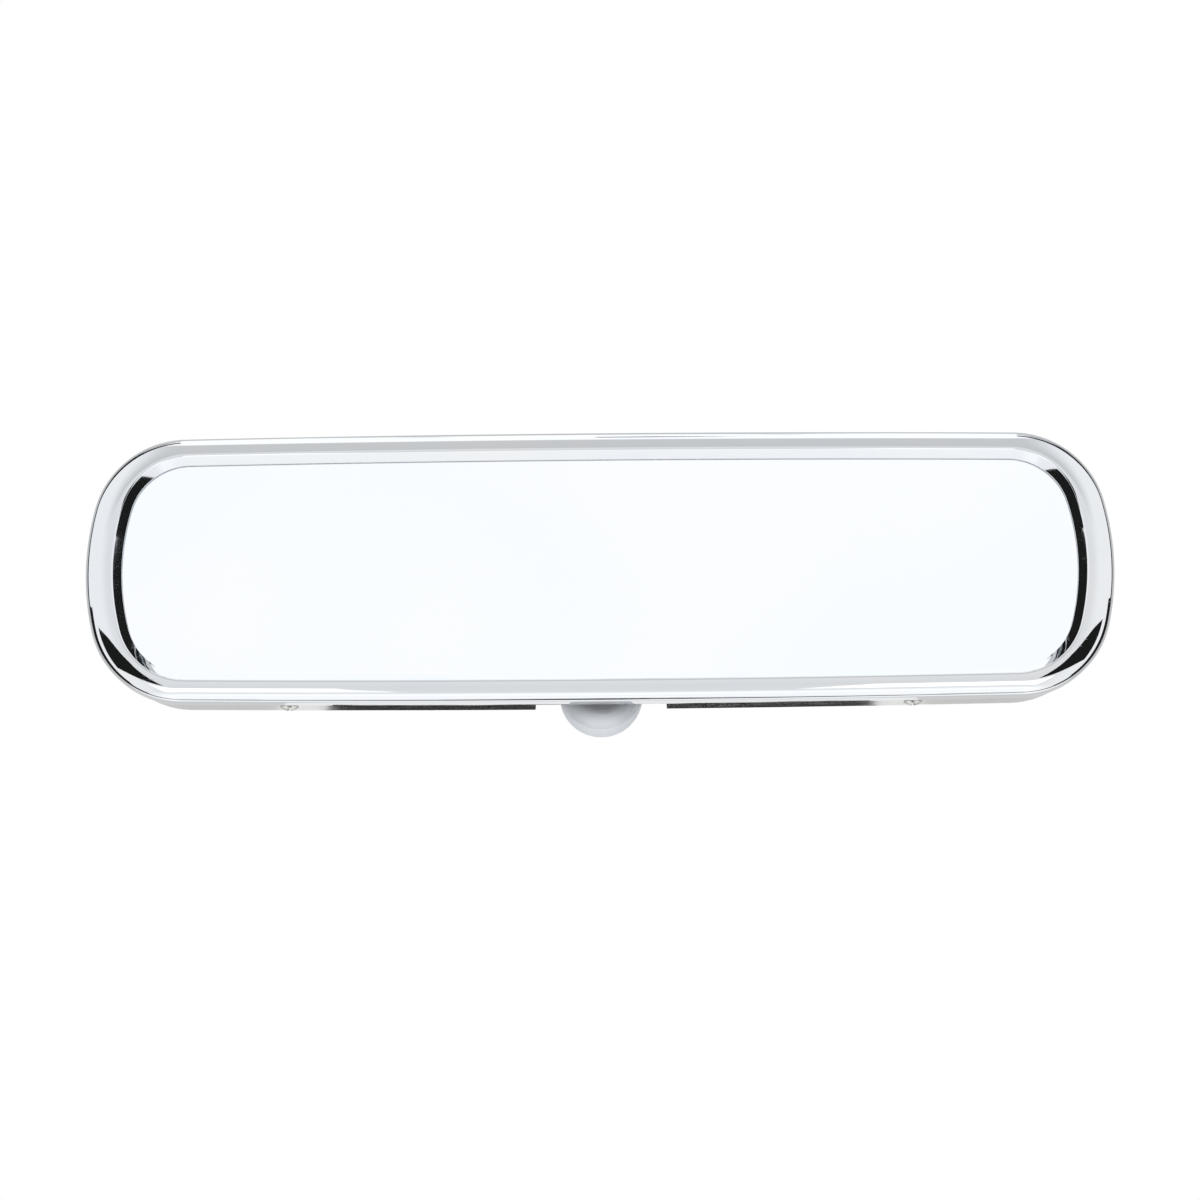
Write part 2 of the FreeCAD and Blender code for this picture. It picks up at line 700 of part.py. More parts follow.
def stop_pads():
    """Two rubber buffers on the pivot plate that meet the frame's lower strap."""
    end = FRAME_REAR_Y - FRAME_T - FIT
    return group([rod_y(1.5, PLATE_REAR_Y, end, sx * 10.6, -14.4) for sx in (-1, 1)])


def tension_cup():
    """Domed cap that the spring presses on the liner."""
    shell = Part.makeSphere(CUP_R).cut(Part.makeSphere(seat_r()))
    return shell.common(box((-20, 20), (-20, -4.6), (-20, 20)))


def socket_liner():
    """Moulded cup round the ball, open at the back for the neck."""
    reach, opening = 20.0, 58.0
    cone = Part.makeCone(0, reach * math.tan(math.radians(opening)), reach, V(), Y)
    return Part.makeSphere(LINER_R).cut(Part.makeSphere(BALL_R + FIT)).cut(cone)


# ---- bracket ------------------------------------------------------------------------------------------------
def ball_stud():
    """Ball, neck, collar and a grooved shank that slides into the arm."""
    neck_y = math.sqrt(BALL_R**2 - NECK_R**2)
    groove, low = 1.3, 3.2
    return turned(
        [
            (0, -BALL_R),
            ((BALL_R, 0), (NECK_R, neck_y)),
            (NECK_R, ARM_START_Y - 2.0),
            ((3.95, ARM_START_Y - 1.0), (5.0, ARM_START_Y - 0.6)),
            (5.0, ARM_START_Y),
            (STUD_R, ARM_START_Y),
            (STUD_R, CLAMP_Y - groove),
            (low, CLAMP_Y - groove),
            (low, CLAMP_Y + groove),
            (STUD_R, CLAMP_Y + groove),
            (STUD_R, STUD_END_Y - 0.6),
            (STUD_R - 0.6, STUD_END_Y),
            (0, STUD_END_Y),
        ]
    )


def clamp_screw():
    """Socket set screw with a dog point in the shank's groove."""
    screw = Part.makeCylinder(2.0, 2.3, V(0, CLAMP_Y, -6.4), Z)
    point = Part.makeCylinder(1.2, 0.85, V(0, CLAMP_Y, -4.1), Z)
    key = [V(1.15 * math.cos(a), CLAMP_Y + 1.15 * math.sin(a), -6.4)
           for a in [math.radians(60 * i) for i in range(7)]]
    socket = Part.Face(Part.makePolygon(key)).extrude(V(0, 0, 1.5))
    return join(screw, point).cut(socket)


def foot_outline(grow, y):
    """Rounded triangle round the three holes."""
    corners = [V(x, y, z) for x, z in foot_holes()]
    triangle = Part.Face(Part.makePolygon(corners + corners[:1]))
    return triangle.makeOffset2D(FOOT_LOBE_R + grow)


def foot_holes():
    radius = FOOT_PCD / 2
    angles = [math.radians(90 + 120 * i) for i in range(3)]
    return [(radius * math.cos(a), FOOT_Z + radius * math.sin(a)) for a in angles]


def foot_slab(grow, y0, y1):
    return foot_outline(grow, y0).extrude(V(0, y1 - y0, 0))


def mounting_bracket():
    """Die-cast foot and tapering arm in one piece."""
    face_y = FOOT_Y - FOOT_PAD_T
    front_y = face_y - FOOT_T
    foot = foot_slab(0.0, front_y, face_y)
    foot = foot.makeFillet(1.6, [e for e in foot.Edges if e.BoundBox.YMax < front_y + 0.01])
    stations = [
        (ARM_START_Y, 0.0, 6.0),
        (22.0, 0.5, 6.1),
        (34.0, 4.4, 6.4),
        (46.0, 9.9, 7.2),
        (54.0, 12.9, 8.6),
        (face_y - 1.0, FOOT_Z, 10.6),
    ]
    arm = Part.makeLoft([Part.Wire(Part.makeCircle(r, V(0, y, z), Y)) for y, z, r in stations], True)
    body = join(foot, arm)
    body = body.cut(rod_y(STUD_R, ARM_START_Y - 1, STUD_END_Y + 0.5))
    body = body.cut(Part.makeCylinder(2.0, 6.0, V(0, CLAMP_Y, -9.0), Z))
    sink_r = 4.4
    for x, z in foot_holes():
        body = body.cut(rod_y(FOOT_HOLE_R, front_y - 1, face_y + 1, x, z))
        depth = sink_r - FOOT_HOLE_R
        sink = Part.makeCone(sink_r, FOOT_HOLE_R, depth, V(x, front_y, z), Y)
        body = body.cut(sink).cut(rod_y(sink_r, front_y - 6, front_y, x, z))
    return body


def foot_gasket():
    pad = foot_slab(0.4, FOOT_Y - FOOT_PAD_T, FOOT_Y)
    for x, z in foot_holes():
        pad = pad.cut(rod_y(FOOT_HOLE_R, FOOT_Y - 3, FOOT_Y + 1, x, z))
    return pad


# ---- export -------------------------------------------------------------------------------------------------
NODES = [
    mounting_bracket, foot_gasket, ball_stud, clamp_screw,
    socket_liner, tension_cup,
    pivot_plate, ball_retainer, retainer_screws, tension_spring, stop_pads,
    rim_bezel, glass_gasket, mirror_glass, mirror_silvering, backing_pad, carrier_plate, back_shell, case_screws,
    mechanism_frame, frame_rivets, hinge_rod, lever_pin, pin_clips, pin_spacers, spring_post, toggle_spring,
    flip_lever, link_pin, flip_knob,
]

os.makedirs("parts", exist_ok=True)
for build in NODES:
    shape = build()
    if not shape.isValid() or not shape.Solids:
        raise SystemExit(f"{build.__name__} isn't a valid solid")
    solids = shape.Solids
    shape = solids[0] if len(solids) == 1 else Part.makeCompound(solids)
    shape.translate(TO_ROW)
    shape.exportStep(f"parts/{build.__name__}.step")
    print(f"{build.__name__:18s} solids {len(solids)}  volume {shape.Volume:9.1f} mm3")
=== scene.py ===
"""Looks for the interior rearview mirror: chromed rim, prism glass, pressed shell, flip knob, ball joint and bracket.

Metres, in the row's frame: +Z up, -Y the side the driver looks at, origin at the centre of the foot's mounting face.
"""

import math

import bmesh
import bpy
from mathutils import Matrix, Vector


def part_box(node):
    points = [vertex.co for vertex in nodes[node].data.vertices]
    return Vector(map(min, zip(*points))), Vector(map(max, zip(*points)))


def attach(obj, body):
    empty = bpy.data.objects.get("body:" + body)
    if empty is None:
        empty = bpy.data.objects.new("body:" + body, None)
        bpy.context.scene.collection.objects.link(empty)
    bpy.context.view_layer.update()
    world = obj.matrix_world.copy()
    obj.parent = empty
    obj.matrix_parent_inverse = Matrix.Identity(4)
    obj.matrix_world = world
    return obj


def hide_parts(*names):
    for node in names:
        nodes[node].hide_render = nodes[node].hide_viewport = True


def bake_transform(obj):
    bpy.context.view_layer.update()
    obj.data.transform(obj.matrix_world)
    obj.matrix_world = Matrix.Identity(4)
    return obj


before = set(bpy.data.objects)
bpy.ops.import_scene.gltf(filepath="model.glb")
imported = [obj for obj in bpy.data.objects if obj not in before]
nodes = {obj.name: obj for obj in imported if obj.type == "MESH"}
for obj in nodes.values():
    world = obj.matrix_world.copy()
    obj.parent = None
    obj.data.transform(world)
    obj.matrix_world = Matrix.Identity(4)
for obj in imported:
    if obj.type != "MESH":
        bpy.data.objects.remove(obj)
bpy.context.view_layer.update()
MM = 0.001


# ---- node helpers -------------------------------------------------------------------------------------------
class Paint:
    """One Principled material and short calls for the patterns that drive it."""

    def __init__(self, name, **constants):
        self.material = bpy.data.materials.new(name)
        self.material.use_nodes = True
        self.tree = self.material.node_tree
        self.shader = self.tree.nodes["Principled BSDF"]
        for socket, value in constants.items():
            self.shader.inputs[socket.replace("_", " ")].default_value = value
        self.coords = self.add("ShaderNodeTexCoord").outputs["Object"]

    def add(self, kind, **settings):
        node = self.tree.nodes.new(kind)
        for key, value in settings.items():
            setattr(node, key, value)
        return node

    def put(self, socket, value):
        """Link value to the socket if it is another socket, else set it there."""
        if isinstance(value, bpy.types.NodeSocket):
            self.tree.links.new(value, socket)
        elif isinstance(value, tuple) and len(value) == 3 and socket.type == "RGBA":
            socket.default_value = (*value, 1)
        else:
            socket.default_value = value

    def stretch(self, scale=(1, 1, 1), turn=(0, 0, 0)):
        """The object's coordinates, scaled along each axis after a turn."""
        node = self.add("ShaderNodeMapping", vector_type="POINT")
        self.put(node.inputs["Vector"], self.coords)
        node.inputs["Scale"].default_value = scale
        node.inputs["Rotation"].default_value = [math.radians(a) for a in turn]
        return node.outputs["Vector"]

    def noise(self, scale, detail=3.0, rough=0.5, warp=0.0, vector=None):
        """Fractal noise. scale is in features per metre."""
        node = self.add("ShaderNodeTexNoise")
        self.put(node.inputs["Vector"], vector or self.coords)
        for key, value in (("Scale", scale), ("Detail", detail), ("Roughness", rough), ("Distortion", warp)):
            node.inputs[key].default_value = value
        return node.outputs["Fac"]

    def cells(self, scale, output="Distance"):
        """Voronoi cells: the distance to each cell's middle, or with output="Color" a value of its own."""
        node = self.add("ShaderNodeTexVoronoi", feature="F1")
        self.put(node.inputs["Vector"], self.coords)
        node.inputs["Scale"].default_value = scale
        return node.outputs[output]

    def bands(self, scale, direction, warp):
        """Waves that follow each other along one axis."""
        node = self.add("ShaderNodeTexWave", wave_type="BANDS", bands_direction=direction)
        self.put(node.inputs["Vector"], self.coords)
        node.inputs["Scale"].default_value = scale
        node.inputs["Distortion"].default_value = warp
        node.inputs["Detail"].default_value = 2.0
        return node.outputs["Fac"]

    def span(self, value, low, high, out_low=0.0, out_high=1.0):
        """value from low..high remapped to out_low..out_high, smoothly and clamped."""
        node = self.add("ShaderNodeMapRange", interpolation_type="SMOOTHSTEP")
        self.put(node.inputs["Value"], value)
        for key, number in (("From Min", low), ("From Max", high), ("To Min", out_low), ("To Max", out_high)):
            node.inputs[key].default_value = number
        return node.outputs["Result"]

    def math(self, operation, a, b=0.0):
        node = self.add("ShaderNodeMath", operation=operation)
        self.put(node.inputs[0], a)
        self.put(node.inputs[1], b)
        return node.outputs[0]

    def blend(self, share, a, b):
        node = self.add("ShaderNodeMix", data_type="RGBA")
        self.put(node.inputs[0], share)
        self.put(node.inputs[6], a)
        self.put(node.inputs[7], b)
        return node.outputs[2]

    def edges(self, radius):
        """1 where the surface turns sharply within radius, 0 on the flats."""
        bevel = self.add("ShaderNodeBevel", samples=6)
        bevel.inputs["Radius"].default_value = radius
        flat = self.add("ShaderNodeNewGeometry").outputs["Normal"]
        dot = self.add("ShaderNodeVectorMath", operation="DOT_PRODUCT")
        self.put(dot.inputs[0], bevel.outputs["Normal"])
        self.put(dot.inputs[1], flat)
        return self.span(dot.outputs["Value"], 0.998, 0.86)

    def finish(self, colour, roughness, height, bump, depth):
        """Link the patterns to the shader; depth is the bump's height in metres."""
        node = self.add("ShaderNodeBump")
        node.inputs["Strength"].default_value = bump
        node.inputs["Distance"].default_value = depth
        self.put(node.inputs["Height"], height)
        for key, value in (("Base Color", colour), ("Roughness", roughness), ("Normal", node.outputs["Normal"])):
            self.put(self.shader.inputs[key], value)
        return self.material


# ---- finishes -----------------------------------------------------------------------------------------------
def chrome(name, tone, low, high, wear=0.35, waviness=0.4, metal=1.0):
    """Plated and polished: wiping haze, hairline scratches, a few pits, plating a shade darker at worn edges."""
    p = Paint(name, Metallic=metal, IOR=2.3)
    haze = p.noise(24, 5, 0.6, 0.4)
    swirl = p.noise(1.0, 4, 0.7, 0.6, p.stretch((70, 70, 900), (8, 24, 3)))
    hair = p.span(p.noise(1.0, 2, 0.5, 0, p.stretch((30, 260, 2600), (0, 5, 0))), 0.66, 0.74)
    pits = p.span(p.cells(900), 0.10, 0.05)
    edge = p.edges(0.35 * MM)
    dark = tuple(c * 0.88 for c in tone)
    cool = (tone[0] * 0.97, tone[1] * 0.99, min(1.0, tone[2] * 1.02))
    colour = p.blend(p.span(haze, 0.35, 0.7), tone, cool)
    colour = p.blend(p.math("MULTIPLY", edge, wear), colour, dark)
    colour = p.blend(p.math("MULTIPLY", pits, 0.3), colour, dark)
    rough = p.span(haze, 0.38, 0.72, low, high)
    rough = p.math("ADD", rough, p.math("MULTIPLY", hair, 0.07))
    rough = p.math("ADD", rough, p.math("MULTIPLY", p.span(swirl, 0.55, 0.75), 0.03))
    wave = p.noise(60, 1, 0.4)
    height = p.math("ADD", p.math("MULTIPLY", wave, waviness), p.math("MULTIPLY", hair, -0.02))
    return p.finish(colour, rough, height, 1.0, 0.0001)


def brushed(name, tone, grain, low, high, stain=0.12):
    """Drawn or ground sheet: fine grain in one direction, faint stains, bright rubbed edges."""
    p = Paint(name, Metallic=1.0)
    line = p.noise(1.0, 4, 0.65, 0, p.stretch(grain))
    broad = p.noise(1.0, 3, 0.5, 0, p.stretch(tuple(g / 7 for g in grain)))
    blot = p.span(p.noise(45, 4, 0.6, 0.8), 0.5, 0.75)
    edge = p.edges(0.3 * MM)
    dark = tuple(c * 0.78 for c in tone)
    bright = tuple(min(1.0, c * 1.18) for c in tone)
    colour = p.blend(p.span(line, 0.3, 0.7), dark, tone)
    colour = p.blend(p.math("MULTIPLY", blot, stain), colour, (0.28, 0.26, 0.24))
    colour = p.blend(p.math("MULTIPLY", edge, 0.6), colour, bright)
    rough = p.span(p.math("ADD", line, p.math("MULTIPLY", blot, 0.3)), 0.3, 0.9, low, high)
    height = p.math("ADD", line, p.math("MULTIPLY", broad, 0.5))
    return p.finish(colour, rough, height, 0.25, 0.00003)


def zinc(name, tone):
    """Electroplated zinc: cloudy grey with a faint yellow bloom and small crystals."""
    p = Paint(name, Metallic=1.0)
    cloud = p.noise(90, 5, 0.65, 0.5)
    bloom = p.span(p.noise(35, 3, 0.5, 0.3), 0.45, 0.7)
    crystal = p.cells(700, output="Color")
    edge = p.edges(0.3 * MM)
    colour = p.blend(p.span(cloud, 0.3, 0.7), tuple(c * 0.82 for c in tone), tone)
    colour = p.blend(p.math("MULTIPLY", bloom, 0.25), colour, (0.70, 0.62, 0.42))
    colour = p.blend(p.math("MULTIPLY", edge, 0.5), colour, (0.80, 0.80, 0.80))
    rough = p.span(p.math("ADD", cloud, p.math("MULTIPLY", crystal, 0.25)), 0.35, 0.9, 0.24, 0.44)
    return p.finish(colour, rough, p.math("ADD", cloud, p.math("MULTIPLY", crystal, 0.3)), 0.3, 0.00004)


def turned_steel(name, tone, axis="Y", pitch=2200, low=0.14, high=0.30):
    """Turned bar: fine rings round its axis, oil-darkened patches, bright corners."""
    p = Paint(name, Metallic=1.0)
    rings = p.bands(pitch, axis, warp=0.4)
    grime = p.span(p.noise(130, 4, 0.6, 0.5), 0.48, 0.72)
    edge = p.edges(0.25 * MM)
    colour = p.blend(p.math("MULTIPLY", grime, 0.5), tone, tuple(c * 0.6 for c in tone))
    colour = p.blend(p.math("MULTIPLY", edge, 0.6), colour, tuple(min(1.0, c * 1.25) for c in tone))
    rough = p.span(p.math("ADD", rings, p.math("MULTIPLY", grime, 0.6)), 0.2, 1.4, low, high)
    return p.finish(colour, rough, rings, 0.18, 0.00003)


def black_oxide(name):
    """Blackened steel: mottled, with bare edges."""
    p = Paint(name, Metallic=0.85)
    mottle = p.noise(500, 4, 0.6)
    edge = p.edges(0.25 * MM)
    colour = p.blend(p.span(mottle, 0.35, 0.7), (0.035, 0.036, 0.04), (0.075, 0.07, 0.066))
    colour = p.blend(p.math("MULTIPLY", edge, 0.7), colour, (0.34, 0.33, 0.33))
    return p.finish(colour, p.span(mottle, 0.3, 0.7, 0.32, 0.5), mottle, 0.25, 0.00004)


def rubber(name, tone, dust=(0.22, 0.215, 0.205), share=0.35, pore=1600):
    """Moulded rubber: fine pores, flow marks, pale dust where it has been rubbed or lies still."""
    p = Paint(name, IOR=1.5, Specular_IOR_Level=0.4)
    pores = p.noise(pore, 4, 0.6)
    flow = p.noise(1.0, 3, 0.5, 0.6, p.stretch((40, 160, 160)))
    dusty = p.span(p.noise(140, 5, 0.7, 0.3), 0.52, 0.78)
    edge = p.edges(0.3 * MM)
    colour = p.blend(p.span(flow, 0.3, 0.7), tone, tuple(c * 1.5 for c in tone))
    colour = p.blend(p.math("MULTIPLY", dusty, share), colour, dust)
    colour = p.blend(p.math("MULTIPLY", edge, 0.25), colour, dust)
    rough = p.span(p.math("ADD", pores, p.math("MULTIPLY", dusty, 0.5)), 0.3, 1.0, 0.52, 0.8)
    return p.finish(colour, rough, p.math("ADD", pores, p.math("MULTIPLY", flow, 0.6)), 0.35, 0.00006)


def vinyl(name, tone):
    """Soft extruded vinyl: draw lines along the strip, faint yellowing, a waxy surface."""
    p = Paint(name, IOR=1.53, Subsurface_Weight=0.15, Subsurface_Scale=0.001)
    draw = p.noise(1.0, 3, 0.5, 0, p.stretch((40, 1800, 1800)))
    age = p.span(p.noise(60, 4, 0.6, 0.5), 0.45, 0.75)
    colour = p.blend(p.span(draw, 0.3, 0.7), tuple(c * 0.85 for c in tone), tone)
    colour = p.blend(p.math("MULTIPLY", age, 0.25), colour, (0.55, 0.53, 0.46))
    return p.finish(colour, p.span(draw, 0.3, 0.7, 0.32, 0.46), draw, 0.2, 0.00004)


def nylon(name):
    """Natural nylon: flow marks and patches of grease."""
    p = Paint(name, IOR=1.53, Subsurface_Weight=0.25, Subsurface_Scale=0.002)
    p.shader.inputs["Subsurface Radius"].default_value = (1.0, 0.9, 0.7)
    flow = p.noise(220, 4, 0.5, 0.8)
    grease = p.span(p.noise(160, 3, 0.6, 0.4), 0.5, 0.7)
    edge = p.edges(0.3 * MM)
    colour = p.blend(p.span(flow, 0.3, 0.7), (0.72, 0.69, 0.61), (0.82, 0.79, 0.71))
    colour = p.blend(p.math("MULTIPLY", grease, 0.35), colour, (0.45, 0.41, 0.33))
    colour = p.blend(p.math("MULTIPLY", edge, 0.3), colour, (0.88, 0.86, 0.80))
    return p.finish(colour, p.span(grease, 0, 1, 0.46, 0.24), flow, 0.2, 0.00005)


def foam(name):
    """Dark open-celled foam, with painted shade darkening the middle of each pore."""
    p = Paint(name, IOR=1.4)
    cells = p.cells(2400)
    tone = p.noise(260, 4, 0.6)
    colour = p.blend(p.span(tone, 0.3, 0.7), (0.060, 0.060, 0.064), (0.115, 0.113, 0.110))
    # painted shade: the middle of each pore is blended to near-black as the shade inside the hole
    colour = p.blend(p.span(cells, 0.2, 0.6), (0.03, 0.03, 0.032), colour)
    return p.finish(colour, p.span(cells, 0, 0.7, 0.95, 0.8), cells, 0.7, 0.0002)


def mirror_face(name):
    """The prism glass as it is seen, silver under a clear polished front, with faint wiping marks and dust."""
    p = Paint(name, Metallic=1.0, Coat_Weight=1.0, Coat_Roughness=0.01, Coat_IOR=1.52)
    wipe = p.noise(1.0, 4, 0.6, 0.5, p.stretch((9, 40, 40), (0, 18, 0)))
    broad = p.noise(7, 2, 0.5, 0.2)
    dust = p.span(p.cells(420), 0.05, 0.02)
    colour = p.blend(p.span(broad, 0.35, 0.65), (0.915, 0.945, 0.985), (0.945, 0.965, 0.995))
    colour = p.blend(p.math("MULTIPLY", dust, 0.10), colour, (0.80, 0.80, 0.80))
    rough = p.math("ADD", p.span(wipe, 0.45, 0.85, 0.004, 0.03), p.math("MULTIPLY", dust, 0.04))
    return p.finish(colour, rough, wipe, 0.02, 0.00001)


def silver(name):
    """The glass's silvering, with a few dull spots."""
    p = Paint(name, Metallic=1.0)
    cloud = p.noise(30, 4, 0.6, 0.4)
    spot = p.span(p.cells(160), 0.035, 0.015)
    colour = p.blend(p.span(cloud, 0.3, 0.7), (0.955, 0.965, 0.975), (0.975, 0.98, 0.985))
    colour = p.blend(p.math("MULTIPLY", spot, 0.12), colour, (0.6, 0.58, 0.55))
    return p.finish(colour, p.span(cloud, 0.4, 0.8, 0.0, 0.015), cloud, 0.02, 0.00001)


def cast_zinc(name, tone):
    """Bare die-casting: cold-flow swirls, grainy skin, bright rubbed edges."""
    p = Paint(name, Metallic=1.0)
    flow = p.noise(110, 5, 0.55, 2.2)
    grain = p.noise(1800, 3, 0.6)
    edge = p.edges(0.4 * MM)
    colour = p.blend(p.span(flow, 0.35, 0.68), tuple(c * 0.72 for c in tone), tone)
    colour = p.blend(p.math("MULTIPLY", edge, 0.6), colour, (0.74, 0.74, 0.75))
    rough = p.span(p.math("ADD", flow, p.math("MULTIPLY", grain, 0.4)), 0.4, 1.1, 0.3, 0.52)
    return p.finish(colour, rough, p.math("ADD", grain, p.math("MULTIPLY", flow, 0.8)), 0.35, 0.00006)


FINISHES = {
    "rim_bezel": chrome("rim_chrome", (0.70, 0.715, 0.73), 0.02, 0.06),
    "back_shell": brushed("shell_stainless", (0.60, 0.60, 0.595), (14, 3000, 3000), low=0.08, high=0.18),
    "flip_knob": chrome("knob_chrome", (0.56, 0.58, 0.61), 0.38, 0.48, metal=0.25),
    "glass_gasket": vinyl("gasket_vinyl", (0.52, 0.55, 0.58)),
    "mirror_glass": mirror_face("prism_glass"),
    "mirror_silvering": silver("silvering"),
    "backing_pad": foam("pad_foam"),
    "mounting_bracket": chrome("bracket_chrome", (0.60, 0.61, 0.62), 0.06, 0.16, waviness=0.5),
    "foot_gasket": rubber("foot_rubber", (0.032, 0.032, 0.033), share=0.5),
    "ball_stud": turned_steel("stud_steel", (0.56, 0.56, 0.57)),
    "clamp_screw": black_oxide("black_steel"),
    "socket_liner": nylon("liner_nylon"),
    "toggle_spring": brushed("spring_steel", (0.33, 0.34, 0.37), (3000, 60, 3000), low=0.2, high=0.34),
    "tension_cup": brushed("cup_zinc", (0.60, 0.60, 0.58), (900, 900, 900), low=0.22, high=0.36),
    "pivot_plate": zinc("zinc_plate", (0.60, 0.61, 0.61)),
    "case_screws": turned_steel("screw_steel", (0.62, 0.62, 0.60), "Z"),
    "stop_pads": rubber("stop_rubber", (0.03, 0.03, 0.031)),
    "frame_rivets": turned_steel("rivet_steel", (0.58, 0.58, 0.58)),
    "flip_lever": cast_zinc("lever_zinc", (0.52, 0.53, 0.54)),
    "hinge_rod": turned_steel("pin_steel", (0.55, 0.55, 0.56), "X"),
}
SAME_AS = {
    "tension_spring": "toggle_spring",
    "carrier_plate": "pivot_plate",
    "ball_retainer": "pivot_plate",
    "mechanism_frame": "pivot_plate",
    "retainer_screws": "ball_stud",
    "lever_pin": "hinge_rod",
    "link_pin": "hinge_rod",
    "spring_post": "hinge_rod",
    "pin_spacers": "hinge_rod",
    "pin_clips": "toggle_spring",
}
for name, node in nodes.items():
    node.data.materials.clear()
    node.data.materials.append(FINISHES[SAME_AS.get(name, name)])


# ---- the rim, pressed in one smooth sheet -------------------------------------------------------------------
# the rim's own dimensions, as in the CAD: insets are (at a short side, at a long side)
RIM_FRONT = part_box("rim_bezel")[0].y
RIM_MIDDLE_Z = (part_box("rim_bezel")[0].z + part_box("rim_bezel")[1].z) / 2
HALF_WIDTH, HALF_HEIGHT = 127.2, 33.9
LONG_SIDE_R, SHORT_SIDE_R, CORNER_R = 7400.0, 66.0, 23.0
STATIONS = [(0.0, 0.0), (0.95, 0.95), (6.7, 4.75), (9.0, 6.9), (11.0, 8.9)]
SHEET, RIM_DEPTH = 0.8, 7.4
CREST, FACE_R, EDGE_R, BEND_R = 6.3, 10.4, 2.12, 0.9
BEND_START, BEVEL = math.radians(1.4), math.radians(45)
SIGHT_INSET, SIGHT_EDGE = 9.0, 0.55


def long_inset(at_side):
    for (s0, l0), (s1, l1) in zip(STATIONS, STATIONS[1:]):
        if at_side <= s1:
            return l0 + (l1 - l0) * (at_side - s0) / (s1 - s0)
    raise ValueError("past the last rim station")


def outline(at_side, steps):
    """Points (x, z) in mm round the rim line at that inset, evenly within each of its eight tangent arcs."""
    at_long = long_inset(at_side)
    side_r, long_r = SHORT_SIDE_R - at_side, LONG_SIDE_R - at_long
    corner_r = CORNER_R - (at_side + at_long) / 2
    side_x, long_z = HALF_WIDTH - SHORT_SIDE_R, HALF_HEIGHT - LONG_SIDE_R
    to_long, to_side = long_r - corner_r, side_r - corner_r
    apart = math.hypot(side_x, long_z)
    along = (to_long**2 - to_side**2 + apart**2) / (2 * apart)
    across = math.sqrt(to_long**2 - along**2)
    ux, uz = side_x / apart, -long_z / apart
    cx, cz = along * ux + across * uz, long_z + along * uz - across * ux
    side, top, half = math.atan2(cz, cx - side_x), math.atan2(cz - long_z, cx), math.pi
    arcs = [
        (side_x, 0, side_r, -side, side, 0),
        (cx, cz, corner_r, side, top, 1),
        (0, long_z, long_r, top, half - top, 2),
        (-cx, cz, corner_r, half - top, half - side, 1),
        (-side_x, 0, side_r, half - side, half + side, 0),
        (-cx, -cz, corner_r, half + side, half + top, 1),
        (0, -long_z, long_r, half + top, 2 * half - top, 2),
        (cx, -cz, corner_r, 2 * half - top, 2 * half - side, 1),
    ]
    points = []
    for x, z, radius, start, end, kind in arcs:
        count = steps[kind]
        for i in range(count):
            a = start + (end - start) * i / count
            points.append((x + radius * math.cos(a), z + radius * math.sin(a)))
    return points


def arc_points(centre, radius, start, end, count):
    """Points on a profile's circle, after start and up to end, angles from the forward direction."""
    angles = [start + (end - start) * i / count for i in range(1, count + 1)]
    return [(centre[0] + radius * math.sin(a), centre[1] - radius * math.cos(a)) for a in angles]


def rim_section():
    """(inset, depth behind the front) of the rim's section, closed, with its bends finely divided."""
    crest = (CREST, FACE_R)
    tip = math.asin((CREST - EDGE_R) / (FACE_R - EDGE_R))
    edge = arc_points(crest, FACE_R - EDGE_R, 0, -tip, 1)[0]
    bend = arc_points(crest, FACE_R - BEND_R, 0, BEND_START, 1)[0]
    bevel_start = arc_points(bend, BEND_R, 0, BEVEL, 1)[0]
    sight_y = bevel_start[1] + (SIGHT_INSET - bevel_start[0]) * math.tan(BEVEL)
    lip_y = sight_y + SIGHT_EDGE
    inside = arc_points(bend, BEND_R - SHEET, 0, BEVEL, 1)[0]
    quarter = math.pi / 2
    return [
        (0.0, RIM_DEPTH),
        (0.0, edge[1]),
        *arc_points(edge, EDGE_R, -quarter, -tip, 18),
        *arc_points(crest, FACE_R, -tip, BEND_START, 20),
        *arc_points(bend, BEND_R, BEND_START, BEVEL, 10),
        (SIGHT_INSET, sight_y),
        (SIGHT_INSET, lip_y),
        (inside[0] + (lip_y - inside[1]) / math.tan(BEVEL), lip_y),
        inside,
        *arc_points(crest, FACE_R - SHEET, BEND_START, -tip, 10),
        *arc_points(edge, EDGE_R - SHEET, -tip, -quarter, 8),
        (SHEET, RIM_DEPTH),
    ]


def swept_rim(name, profile, steps, material, sharp_deg=40.0):
    """A mesh of the profile carried round the rim's outline."""
    mesh = bpy.data.meshes.new(name)
    shape = bmesh.new()
    rings = []
    for inset, depth in profile:
        ring = [
            shape.verts.new((x * MM, RIM_FRONT + depth * MM, RIM_MIDDLE_Z + z * MM)) for x, z in outline(inset, steps)
        ]
        rings.append(ring)
    for near, far in zip(rings, rings[1:] + rings[:1]):
        for i in range(len(near)):
            j = (i + 1) % len(near)
            shape.faces.new((near[i], near[j], far[j], far[i]))
    bmesh.ops.recalc_face_normals(shape, faces=shape.faces)
    for face in shape.faces:
        face.smooth = True
    for edge in shape.edges:
        edge.smooth = edge.calc_face_angle(0.0) < math.radians(sharp_deg)
    shape.to_mesh(mesh)
    shape.free()
    piece = bpy.data.objects.new(name, mesh)
    bpy.context.scene.collection.objects.link(piece)
    mesh.materials.append(material)
    return piece


rim = swept_rim("rim_pressing", rim_section(), (40, 30, 90), FINISHES["rim_bezel"])
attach(rim, "case")
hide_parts("rim_bezel")


# ---- the toggle spring, copied into a mesh of its own; the middles of its post and link pin are found -------
def middle(name):
    low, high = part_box(name)
    return (low + high) / 2


